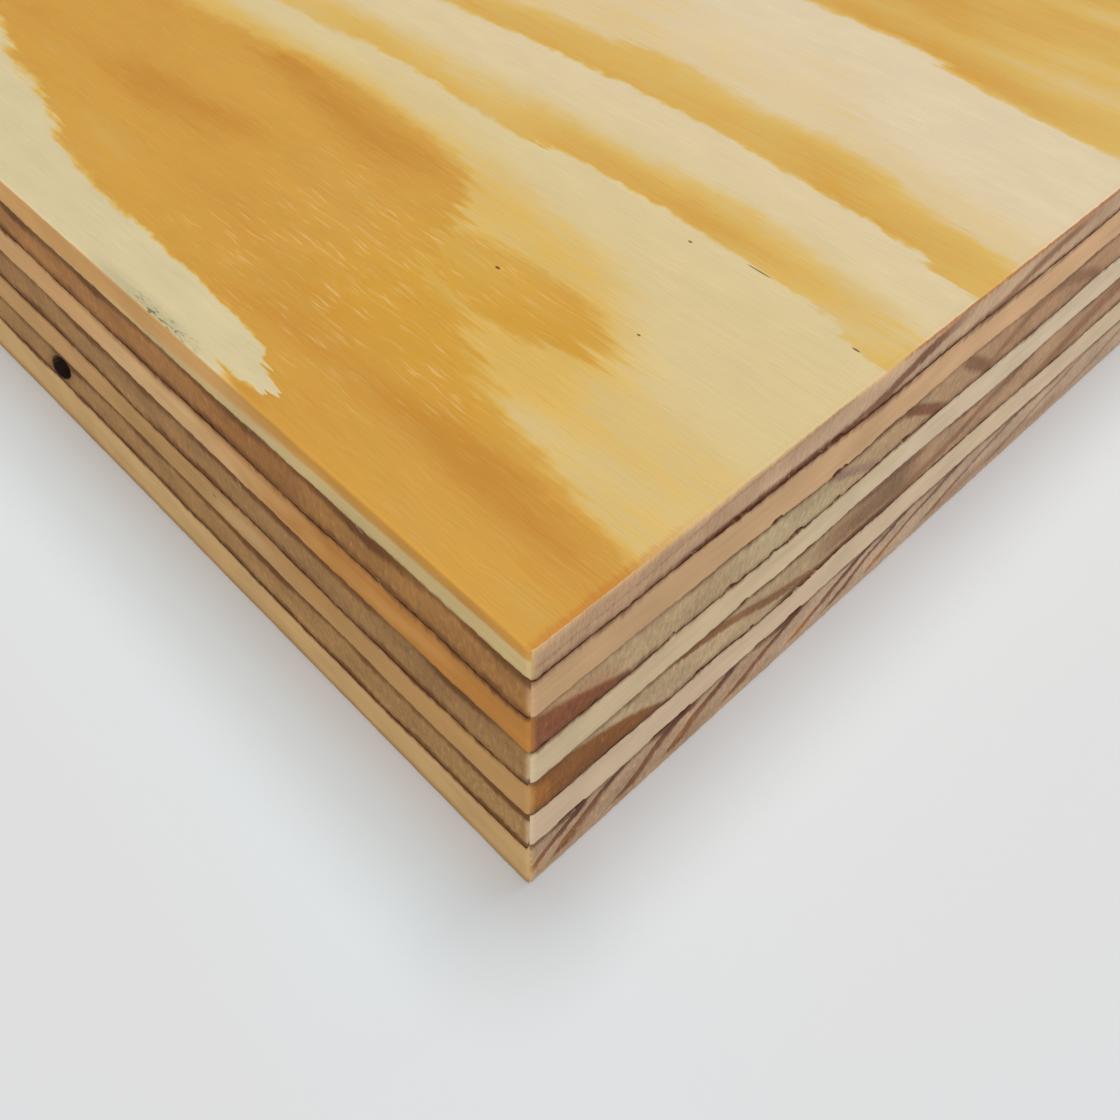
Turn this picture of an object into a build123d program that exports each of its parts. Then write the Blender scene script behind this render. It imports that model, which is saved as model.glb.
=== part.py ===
"""Plywood sheet of seven veneers, each with its grain across the next.

The sheet lies flat on z = 0, centred on the origin. Its length and its face grain run along X.
"""
from build123d import *
import os

# Sheet
sheet_length = 2440.0
sheet_width = 1220.0

# Veneers, from the underside up
back_veneer_thickness = 3.95
lower_crossband_thickness = 2.9
lower_core_thickness = 2.6
centre_crossband_thickness = 2.35
upper_core_thickness = 2.25
upper_crossband_thickness = 2.35
face_veneer_thickness = 1.6

# Sanded arrises around the two outer faces
arris_radius = 0.15

# Knot hole that the trim saw opened at mid-height of the lower crossband, on the front long edge
knot_hole_length = 3.3
knot_hole_breadth = 1.25
knot_hole_depth = 5.0
knot_hole_from_end = 36.3
knot_hole_tilt = 40.0

# Height of the underside of each veneer
lower_crossband_base = back_veneer_thickness
lower_core_base = lower_crossband_base + lower_crossband_thickness
centre_crossband_base = lower_core_base + lower_core_thickness
upper_core_base = centre_crossband_base + centre_crossband_thickness
upper_crossband_base = upper_core_base + upper_core_thickness
face_veneer_base = upper_crossband_base + upper_crossband_thickness

# Plane on the front edge, facing -Y, with its origin at the centre of the knot hole
knot_hole_x = sheet_length / 2 - knot_hole_from_end
knot_hole_z = lower_crossband_base + lower_crossband_thickness / 2
front_edge = Plane(origin=(knot_hole_x, -sheet_width / 2, knot_hole_z), x_dir=(1, 0, 0), z_dir=(0, -1, 0))

# Underside veneer, with its lower arris sanded
with BuildPart() as back_veneer:
    with BuildSketch(Plane.XY):
        Rectangle(sheet_length, sheet_width)
    extrude(amount=back_veneer_thickness)
    fillet(back_veneer.faces().sort_by(Axis.Z)[0].edges(), arris_radius)

# Crossband above it, with the knot hole that runs inwards along its fibres
with BuildPart() as lower_crossband:
    with BuildSketch(Plane.XY.offset(lower_crossband_base)):
        Rectangle(sheet_length, sheet_width)
    extrude(amount=lower_crossband_thickness)
    with BuildSketch(front_edge):
        Ellipse(knot_hole_length / 2, knot_hole_breadth / 2, rotation=knot_hole_tilt)
    extrude(amount=-knot_hole_depth, mode=Mode.SUBTRACT)

# Plain inner veneers
with BuildPart() as lower_core:
    with BuildSketch(Plane.XY.offset(lower_core_base)):
        Rectangle(sheet_length, sheet_width)
    extrude(amount=lower_core_thickness)

with BuildPart() as centre_crossband:
    with BuildSketch(Plane.XY.offset(centre_crossband_base)):
        Rectangle(sheet_length, sheet_width)
    extrude(amount=centre_crossband_thickness)

with BuildPart() as upper_core:
    with BuildSketch(Plane.XY.offset(upper_core_base)):
        Rectangle(sheet_length, sheet_width)
    extrude(amount=upper_core_thickness)

with BuildPart() as upper_crossband:
    with BuildSketch(Plane.XY.offset(upper_crossband_base)):
        Rectangle(sheet_length, sheet_width)
    extrude(amount=upper_crossband_thickness)

# Face veneer, with its upper arris sanded
with BuildPart() as face_veneer:
    with BuildSketch(Plane.XY.offset(face_veneer_base)):
        Rectangle(sheet_length, sheet_width)
    extrude(amount=face_veneer_thickness)
    fillet(face_veneer.faces().sort_by(Axis.Z)[-1].edges(), arris_radius)

back_veneer.part.label = "back_veneer"
lower_crossband.part.label = "lower_crossband"
lower_core.part.label = "lower_core"
centre_crossband.part.label = "centre_crossband"
upper_core.part.label = "upper_core"
upper_crossband.part.label = "upper_crossband"
face_veneer.part.label = "face_veneer"

os.makedirs("parts", exist_ok=True)
export_step(back_veneer.part, "parts/back_veneer.step")
export_step(lower_crossband.part, "parts/lower_crossband.step")
export_step(lower_core.part, "parts/lower_core.step")
export_step(centre_crossband.part, "parts/centre_crossband.step")
export_step(upper_core.part, "parts/upper_core.step")
export_step(upper_crossband.part, "parts/upper_crossband.step")
export_step(face_veneer.part, "parts/face_veneer.step")
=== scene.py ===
"""Looks of a seven-ply softwood plywood sheet, seen close up at one corner.

Millimetres are used for grain and relief, and metres for meshes. Distances on the sheet are counted
from the corner where the front long edge meets the right end: u runs along the long edge, v along the
end, and depth down from the face.
"""
import math

import bpy
import numpy as np
from bpy.props import FloatProperty, FloatVectorProperty, IntProperty, PointerProperty
from mathutils import Matrix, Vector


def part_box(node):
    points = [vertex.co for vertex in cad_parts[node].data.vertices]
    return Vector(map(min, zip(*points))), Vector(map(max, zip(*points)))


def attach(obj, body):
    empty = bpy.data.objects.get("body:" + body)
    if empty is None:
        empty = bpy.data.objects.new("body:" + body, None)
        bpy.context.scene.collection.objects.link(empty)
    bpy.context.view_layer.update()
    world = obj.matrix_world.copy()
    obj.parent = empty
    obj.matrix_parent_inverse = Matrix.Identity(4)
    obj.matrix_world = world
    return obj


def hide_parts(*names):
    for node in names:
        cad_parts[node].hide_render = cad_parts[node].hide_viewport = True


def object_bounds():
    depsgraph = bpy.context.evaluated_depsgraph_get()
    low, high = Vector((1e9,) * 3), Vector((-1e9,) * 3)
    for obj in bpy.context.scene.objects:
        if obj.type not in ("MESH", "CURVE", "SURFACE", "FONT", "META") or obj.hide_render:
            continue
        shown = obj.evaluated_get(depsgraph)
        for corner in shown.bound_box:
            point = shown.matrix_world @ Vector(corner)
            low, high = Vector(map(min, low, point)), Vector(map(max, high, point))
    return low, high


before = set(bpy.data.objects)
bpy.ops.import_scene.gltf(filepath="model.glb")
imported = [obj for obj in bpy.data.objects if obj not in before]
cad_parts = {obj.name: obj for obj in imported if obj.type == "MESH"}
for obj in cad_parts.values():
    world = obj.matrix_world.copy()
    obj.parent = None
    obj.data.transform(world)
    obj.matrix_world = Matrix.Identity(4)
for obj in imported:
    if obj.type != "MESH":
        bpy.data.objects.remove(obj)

bl_info = {
    "name": "Plywood Sheet",
    "version": (1, 0, 0),
    "blender": (4, 5, 0),
    "location": "3D View > Sidebar > Plywood",
    "description": "Builds the veneers of a plywood sheet with their wood figure, sawn edges and glue lines",
    "category": "Add Mesh",
}

CAD_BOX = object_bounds()
MM = 0.001
LENGTH = (CAD_BOX[1].x - CAD_BOX[0].x) / MM
WIDTH = (CAD_BOX[1].y - CAD_BOX[0].y) / MM
THICKNESS = (CAD_BOX[1].z - CAD_BOX[0].z) / MM
HALF_LENGTH = LENGTH / 2
HALF_WIDTH = WIDTH / 2
BODY = "root"

# Veneers from the top down, with the way their grain runs
VENEERS = {
    "face_veneer": "long",
    "upper_crossband": "cross",
    "upper_core": "long",
    "centre_crossband": "cross",
    "lower_core": "long",
    "lower_crossband": "cross",
    "back_veneer": "long",
}
NAMES = list(VENEERS)

# Knot hole in the front edge of the lower crossband: its centre from the corner and below the face, half its
# length and breadth, and its lean in degrees
KNOT_VENEER = "lower_crossband"
KNOT_FROM_END = 36.3
KNOT_DEPTH = 12.6
KNOT_HALF_LENGTH = 1.65
KNOT_HALF_BREADTH = 0.625
KNOT_LEAN = 40.0
# How far in from the long edge the knot hole's painted stain and shade reach, in mm
KNOT_STAIN_AND_SHADE_REACH = 8.0
# The knot hole moves only the points that lie this close to the plane of the long edge, in mm
EDGE_SKIN = 0.2


def tone(red, green, blue):
    """A colour named in display values from 0 to 255, as the linear light that shaders use."""
    shown = (red / 255, green / 255, blue / 255)
    return tuple(c / 12.92 if c <= 0.04045 else ((c + 0.055) / 1.055) ** 2.4 for c in shown)


def rgba(colour):
    """A colour with full opacity."""
    return (*tuple(colour)[:3], 1.0)


class Wire:
    """A socket of a node tree that can be used in sums, with numbers or other wires."""

    def __init__(self, nodes, socket):
        self.nodes = nodes
        self.socket = socket

    def __add__(self, other):
        return self.nodes.math("ADD", self, other)

    def __radd__(self, other):
        return self.nodes.math("ADD", other, self)

    def __sub__(self, other):
        return self.nodes.math("SUBTRACT", self, other)

    def __rsub__(self, other):
        return self.nodes.math("SUBTRACT", other, self)

    def __mul__(self, other):
        return self.nodes.math("MULTIPLY", self, other)

    def __rmul__(self, other):
        return self.nodes.math("MULTIPLY", other, self)

    def __truediv__(self, other):
        return self.nodes.math("DIVIDE", self, other)

    def __abs__(self):
        return self.nodes.math("ABSOLUTE", self)

    def __lt__(self, other):
        return self.nodes.math("LESS_THAN", self, other)

    def __gt__(self, other):
        return self.nodes.math("GREATER_THAN", self, other)


class Nodes:
    """Writes the nodes of one tree."""

    def __init__(self, tree):
        self.tree = tree

    def add(self, kind, settings=None, sockets=None, out=0):
        """Adds a node: its settings first, then the values or wires of its sockets.

        It gives back the wire of the output with the number or name out, where the node has outputs.
        """
        node = self.tree.nodes.new(kind)
        for name, value in (settings or {}).items():
            if name == "points":
                self.fill_curve(node.mapping, value)
            else:
                setattr(node, name, value)
        for key, value in (sockets or {}).items():
            if isinstance(value, Wire):
                self.tree.links.new(value.socket, node.inputs[key])
            else:
                node.inputs[key].default_value = value
        return Wire(self, node.outputs[out]) if len(node.outputs) else node

    @staticmethod
    def fill_curve(mapping, points):
        """Gives a curve node its points."""
        curve = mapping.curves[0]
        while len(curve.points) < len(points):
            curve.points.new(0.5, 0.5)
        for point, location in zip(curve.points, points):
            point.location = location
            point.handle_type = "AUTO_CLAMPED"
        mapping.update()

    def outputs(self, kind, settings=None, sockets=None):
        """All outputs of a new node."""
        node = self.add(kind, settings, sockets).socket.node
        return [Wire(self, socket) for socket in node.outputs]

    def math(self, operation, *terms):
        return self.add("ShaderNodeMath", {"operation": operation}, dict(enumerate(terms)))

    def vector(self, x, y, z=0.0):
        return self.add("ShaderNodeCombineXYZ", None, {"X": x, "Y": y, "Z": z})

    def split(self, vector):
        return self.outputs("ShaderNodeSeparateXYZ", None, {0: vector})

    def scaled(self, vector, factor):
        return self.add("ShaderNodeVectorMath", {"operation": "SCALE"}, {0: vector, "Scale": factor})

    def noise(self, place, across, down, seed, detail=2.0, rough=0.5):
        """Flat noise, mostly between -1 and 1, with so many waves in a mm across and down."""
        shift = (seed * 17.31 % 100, seed * 7.77 % 100, 0)
        sockets = {0: place, 1: (across, down, 1), 2: shift}
        where = self.add("ShaderNodeVectorMath", {"operation": "MULTIPLY_ADD"}, sockets)
        sockets = {"Vector": where, "Scale": 1.0, "Detail": detail, "Roughness": rough}
        value = self.add("ShaderNodeTexNoise", {"noise_dimensions": "2D"}, sockets)
        return self.math("MULTIPLY_ADD", value, 4.0, -2.0)

    def smooth(self, value, low, high, at_low=0.0, at_high=1.0):
        """at_low below low and at_high above high, with a soft step between."""
        sockets = {"Value": value, "From Min": low, "From Max": high, "To Min": at_low, "To Max": at_high}
        return self.add("ShaderNodeMapRange", {"interpolation_type": "SMOOTHSTEP"}, sockets)

    def fade(self, value, low, high):
        """1 below low and 0 above high, with a soft step between."""
        return self.smooth(value, low, high, 1.0, 0.0)

    def within(self, value, low, high, soft):
        """1 between low and high and 0 outside them, with soft borders."""
        above = self.smooth(value, low - soft, low + soft)
        return above * self.fade(value, high - soft, high + soft)

    def larger(self, a, b):
        return self.math("MAXIMUM", a, b)

    def smaller(self, a, b):
        return self.math("MINIMUM", a, b)

    def blend(self, share, a, b):
        """The number a where share is 0 and b where it is 1."""
        return self.add("ShaderNodeMix", {"data_type": "FLOAT"}, {0: share, 2: a, 3: b})

    def paint(self, share, a, b):
        """The colour a where share is 0 and b where it is 1."""
        below = a if isinstance(a, Wire) else rgba(a)
        above = b if isinstance(b, Wire) else rgba(b)
        return self.add("ShaderNodeMix", {"data_type": "RGBA"}, {0: share, 6: below, 7: above}, out=2)

    def finished(self, geometry, material, chosen=True):
        """The geometry with this material on its chosen faces."""
        sockets = {"Geometry": geometry, "Material": material, "Selection": chosen}
        return self.add("GeometryNodeSetMaterial", None, sockets)

    def drawn_curve(self, along, points):
        """A value that follows a drawn curve: points are pairs of a distance in mm and the value there."""
        first = points[0][0]
        reach = points[-1][0] - first
        low = min(value for _, value in points)
        span = max(value for _, value in points) - low or 1.0
        shares = [((distance - first) / reach, (value - low) / span) for distance, value in points]
        way = (along - first) / reach
        drawn = self.add("ShaderNodeFloatCurve", {"points": shares}, {"Factor": 1.0, "Value": way})
        return self.math("MULTIPLY_ADD", drawn, span, low)


# The drawn figure and edge marks give way to the plain ones between these distances from the corner, in mm
DRAWN_REACH = (48.0, 66.0)


class Place:
    """Where on the sheet a shaded point lies, in mm."""

    def __init__(self, nodes):
        where = nodes.add("ShaderNodeTexCoord", None, None, out="Object")
        self.flat = nodes.scaled(where, 1 / MM)
        self.x, self.y, self.z = nodes.split(self.flat)
        self.u = HALF_LENGTH - self.x
        self.v = self.y + HALF_WIDTH
        self.near_corner = nodes.fade(nodes.larger(self.u, self.v), *DRAWN_REACH)


# Line where the first ring starts beside the long edge, round a pale tongue, as v in mm at distances u
TONGUE_LINE = [
    (0, -2), (14.3, -2), (14.6, 1.2), (15.2, 1.5), (16.2, 1.8), (18, 2.2), (20, 2.45), (23, 2.65), (26, 2.75),
    (30, 2.9), (33, 3.1), (35, 3.6), (37, 4.2), (39, 4.9), (42, 5.4), (46, 6.6), (60, 9)]
# Growth rings of the face near the corner. Each has the line where it starts and the line where it fades out,
# as v in mm at distances u, the softness of that fade, and its strength, the share of latewood in it
RINGS = [
    {
        "start": TONGUE_LINE,
        "fade": [
            (0, 4.8), (3, 5.3), (6, 5.9), (10, 7.3), (12, 8.4), (13.5, 9.5), (16, 10.4), (18, 13.4),
            (19.5, 15.1), (22, 16.1), (28, 16.5), (32, 16.3), (36, 15.5), (42, 15.1), (60, 15)],
        "soft": [(0, 0.8), (6, 1.2), (12, 1.7), (17, 2.0), (22, 1.3), (60, 1.2)],
        "strength": [(0, 1.0), (60, 1.0)],
    },
    {
        "start": TONGUE_LINE,
        "fade": [
            (0, 11), (4, 11.3), (8, 12.8), (12, 15), (16, 16.2), (20, 17.4), (28, 17.8), (36, 16.8),
            (60, 16.2)],
        "soft": [(0, 6.0), (6, 4.2), (12, 2.6), (20, 1.8), (60, 1.6)],
        "strength": [(0, 0.24), (5, 0.25), (9, 0.43), (16, 0.5), (24, 0.38), (60, 0.3)],
    },
    {
        "start": [
            (0, 18.3), (2, 18.5), (3, 19.1), (6, 19.5), (10, 19.7), (14, 19.8), (18, 19.65), (20, 19.3),
            (22, 19.05), (24, 19.1), (30, 19.3), (33, 19.0), (38, 18.5), (46, 18.4), (60, 18)],
        "fade": [
            (0, 20.4), (5, 21.6), (12, 22), (18, 21.9), (28, 21.4), (36, 20.8), (46, 20.2), (60, 20)],
        "soft": [(0, 1.8), (60, 1.8)],
        "strength": [
            (0, 0.5), (3, 0.45), (8, 0.53), (13, 0.72), (19, 0.7), (24, 0.56), (34, 0.43), (60, 0.4)],
    },
    {
        "start": [
            (0, 24.4), (2, 24.9), (4, 25.4), (9, 25.9), (14, 26.1), (18, 26.15), (21, 26), (26, 25.7),
            (30, 25.3), (33, 25), (42, 24.2), (60, 24)],
        "fade": [
            (0, 27.8), (6, 28.9), (12, 29.7), (20, 29.7), (25, 28.9), (30, 28.0), (34, 27.4), (42, 26.8),
            (60, 26)],
        "soft": [(0, 1.4), (60, 1.3)],
        "strength": [(0, 0.38), (6, 0.45), (14, 0.64), (30, 0.6), (60, 0.58)],
    },
    {
        "start": [(0, 26), (60, 26)],
        "fade": [(0, 30), (10, 32), (16, 36), (60, 37)],
        "soft": [(0, 2.6), (60, 2.8)],
        "strength": [(0, 0.17), (11, 0.18), (18, 0.2), (60, 0.22)],
    },
    {
        "start": [
            (0, 38.0), (6, 38.6), (11, 39.2), (14, 40.0), (18, 39.9), (24, 39.6), (34, 38.8), (60, 38)],
        "fade": [(0, 58), (20, 60), (60, 62)],
        "soft": [(0, 5.0), (60, 5.0)],
        "strength": [(0, 0.34), (8, 0.55), (14, 0.64), (60, 0.68)],
    },
]
# How far noise moves the drawn lines along and across the sheet, in mm
RING_WAVER = (1.1, 0.17)
# How soft the line is where a ring starts, in mm, at two distances from the corner
START_DISTANCES = (12.0, 50.0)
START_SOFTNESS = (0.1, 0.55)
# Thin wedge of latewood along the arris in front of the tongue: where it fades, as ranges of u and of v
WEDGE_FADE = (15.2, 16.8), (0.3, 0.65)
# Golden lobe beside the first ring: its middle and its half length and breadth in u and v, and its strength
LOBE_MIDDLE = (13.6, 11.2)
LOBE_HALF = (6.4, 2.3)
LOBE_STRENGTH = 0.84
# Figure further off: how many rings the slow, middle and quick noise add, and how many each mm across
SLOW_RINGS, MIDDLE_RINGS, QUICK_RINGS, RINGS_ACROSS = 2.9, 0.36, 0.04, 0.004
# Distances from the long edge over which the pale wood turns warm, and over which it turns plain, in mm
WARM_CREAM = (4.0, 8.0)
PLAIN_CREAM = (14.0, 34.0)
# Latewood shares between which the face turns golden, then amber, then deep amber
TONE_STEPS = (0.0, 0.5), (0.4, 0.92), (0.95, 1.3)
# Where raised fibres and their painted glints crowd on the face and where a deeper yellow shines through, as
# ranges of u and of v
BUSY_PATCH = (9.0, 25.0), (3.0, 13.0)
LIVELY_PATCH = (7.0, 19.0), (5.0, 12.5)
# Grey stain along the arris of the long edge, and the haze round it, as ranges of u
STAIN_STRETCH = (18.7, 22.6)
HAZE_STRETCH = (19.0, 25.5)
# Bruised arris of the end: where it fades into the face, as a range of u, and along the end, as a range of v
BRUISE_WIDTH = (0.1, 0.5)
BRUISE_STRETCH = (3.5, 9.0)
# Small dark specks of the face near the corner, at u and v, with half their length and breadth
SPECKS = [(14.5, 11.8, 0.13, 0.07), (7.8, 13.0, 0.08, 0.05), (10.4, 18.9, 0.1, 0.06), (7.2, 19.5, 0.6, 0.035),
          (1.6, 18.5, 0.18, 0.05)]


def near_figure(nodes, place):
    """Latewood share of the face close to the corner, from the drawn rings."""
    fingers = nodes.noise(place.flat, 0.16, 2.2, 3.0, rough=0.6)
    sway = nodes.noise(place.flat, 0.8, 1.2, 8.0, rough=0.6)
    u = place.u + fingers * RING_WAVER[0]
    v = place.v + sway * RING_WAVER[1]
    rise_soft = nodes.smooth(nodes.larger(place.u, place.v), *START_DISTANCES, *START_SOFTNESS)
    wedge = nodes.fade(v, *WEDGE_FADE[1]) * nodes.fade(u, *WEDGE_FADE[0])
    along = (u - LOBE_MIDDLE[0]) / LOBE_HALF[0]
    across = (v - LOBE_MIDDLE[1]) / LOBE_HALF[1]
    lobe = nodes.smooth(along * along + across * across, 0.4, 1.3, LOBE_STRENGTH, 0.0)
    late = nodes.larger(wedge, lobe)
    for ring in RINGS:
        start, fade = (nodes.drawn_curve(u, ring[line]) for line in ("start", "fade"))
        soft, strength = (nodes.drawn_curve(place.u, ring[line]) for line in ("soft", "strength"))
        rise = nodes.smooth((v - start) / rise_soft, -1.0, 1.0)
        fall = nodes.fade((v - fade) / soft, -1.0, 1.0)
        late = nodes.larger(late, rise * fall * strength)
    return late


def far_figure(nodes, place, seed):
    """Latewood share of a rotary-cut face: contour lines of a slow field, stretched along the grain."""
    slow = nodes.noise(place.flat, 0.0011, 0.0052, seed)
    middle = nodes.noise(place.flat, 0.0052, 0.024, seed + 5.0, detail=1.0)
    quick = nodes.noise(place.flat, 0.05, 0.6, seed + 9.0, detail=0.0)
    rings = slow * SLOW_RINGS + middle * MIDDLE_RINGS + quick * QUICK_RINGS + place.y * RINGS_ACROSS
    inside = nodes.math("FRACT", rings)
    return nodes.smooth(inside, 0.0, 0.03) * nodes.fade(inside, 0.14, 0.78)


def face_finish(nodes, place, settings, late):
    """Colour, roughness and relief of a sanded face, from the latewood share, with painted glints on its
    raised fibres.
    """
    patch = nodes.noise(place.flat, 0.06, 0.28, 21.0, detail=1.0)
    streak = nodes.noise(place.flat, 0.1, 3.2, 31.0, rough=0.6)
    mottle = nodes.noise(place.flat, 0.3, 0.9, 37.0, rough=0.6)
    bend = nodes.vector(0.0, mottle * 0.12)
    waved = nodes.add("ShaderNodeVectorMath", {"operation": "ADD"}, {0: place.flat, 1: bend})
    dash = nodes.noise(waved, 0.5, 7.0, 43.0, rough=0.6)
    cream = nodes.paint(nodes.smooth(place.v, *WARM_CREAM), settings.cream_pale, settings.cream_warm)
    colour = nodes.paint(nodes.smooth(place.v, *PLAIN_CREAM), cream, settings.cream)
    share = late + (patch * 0.19 + streak * 0.06 + mottle * 0.08) * nodes.smooth(late, 0.0, 0.35)
    tones = (settings.gold, settings.amber, settings.deep_amber)
    for (low, high), wood in zip(TONE_STEPS, tones):
        colour = nodes.paint(nodes.smooth(share, low, high), colour, wood)
    busy = nodes.within(place.u, *BUSY_PATCH[0], 4.0) * nodes.within(place.v, *BUSY_PATCH[1], 3.0)
    uneven = streak * nodes.smooth(late, 0.0, 1.0, 0.01, 0.02) + mottle * (busy * 0.03 + 0.03)
    colour = nodes.scaled(colour, 1.0 + uneven)
    busy = busy * nodes.smooth(mottle, -0.5, 0.7, 0.3, 1.4)
    lively = nodes.within(place.u, *LIVELY_PATCH[0], 3.0) * nodes.within(place.v, *LIVELY_PATCH[1], 2.0)
    colour = nodes.paint(lively * nodes.smooth(late, 0.3, 0.8, 0.0, 0.28), colour, settings.lively_gold)
    # Pale dashes along the grain: raised fibres, partly painted glints of the fibres that catch the light
    fibres = nodes.smooth(dash, 0.25, 0.95) * nodes.smooth(late, 0.0, 0.9, 0.015, 0.07) * (1.0 + busy * 4.6)
    colour = nodes.paint(fibres, colour, settings.fibre)
    pores = nodes.fade(dash, -1.2, -0.5) * nodes.smooth(late, 0.0, 0.8, 0.015, 0.13)
    colour = nodes.paint(pores * (1.0 + busy * 2.0), colour, settings.pore)
    rough = nodes.smooth(late, 0.0, 1.0, 0.66, 0.55) + streak * 0.04
    return colour, rough, dash * 0.4


def corner_marks(nodes, place, settings, colour):
    """Stain along the arris, specks and bruised arrises near the photographed corner."""
    spots = nodes.noise(place.flat, 1.9, 8.0, 91.0, rough=0.7)
    tint = nodes.within(place.u, *HAZE_STRETCH, 1.5) * nodes.smooth(place.v, 0.1, 0.85, 0.6, 0.0)
    colour = nodes.paint(tint, colour, settings.stain_tint)
    stain = nodes.smooth(spots, 0.0, 0.8) * nodes.within(place.u, *STAIN_STRETCH, 0.9)
    colour = nodes.paint(stain * nodes.smooth(place.v, 0.25, 0.6, 0.75, 0.0), colour, settings.stain)
    for u, v, half_length, half_breadth in SPECKS:
        along = (place.u - u) / half_length
        across = (place.v - v) / half_breadth
        far = along * along + across * across
        colour = nodes.paint(nodes.smooth(far, 0.5, 1.6, 0.8, 0.0), colour, settings.speck)
    bruise = nodes.smooth(place.u + spots * 0.1, *BRUISE_WIDTH, 0.6, 0.0)
    return nodes.paint(bruise * nodes.smooth(place.v, *BRUISE_STRETCH, 1.0, 0.12), colour, settings.bruise)


# Brown of the plain rings further off, and of one drawn mark
MID_BROWN = (148, 104, 72)


def mark(line, above, below, soft, colour, strength, ends=0.9):
    """A ring or patch on a sawn edge.

    Its line is drawn in distances and depths. The mark reaches above and below that line, with soft borders,
    and ends is the length over which its two ends fade.
    """
    return {
        "line": line, "above": above, "below": below, "soft": soft,
        "colour": tone(*colour), "strength": strength, "ends": ends}


def look(near, far, drift, border, *marks, rings=None):
    """A sawn edge: its colour near the corner and further off, the distances between which it changes, the
    widths of its dark borders beside the glue lines above and below, and what is seen on it."""
    return {
        "near": tone(*near), "far": tone(*far), "drift": drift,
        "border": border, "marks": marks, "rings": rings}


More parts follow.
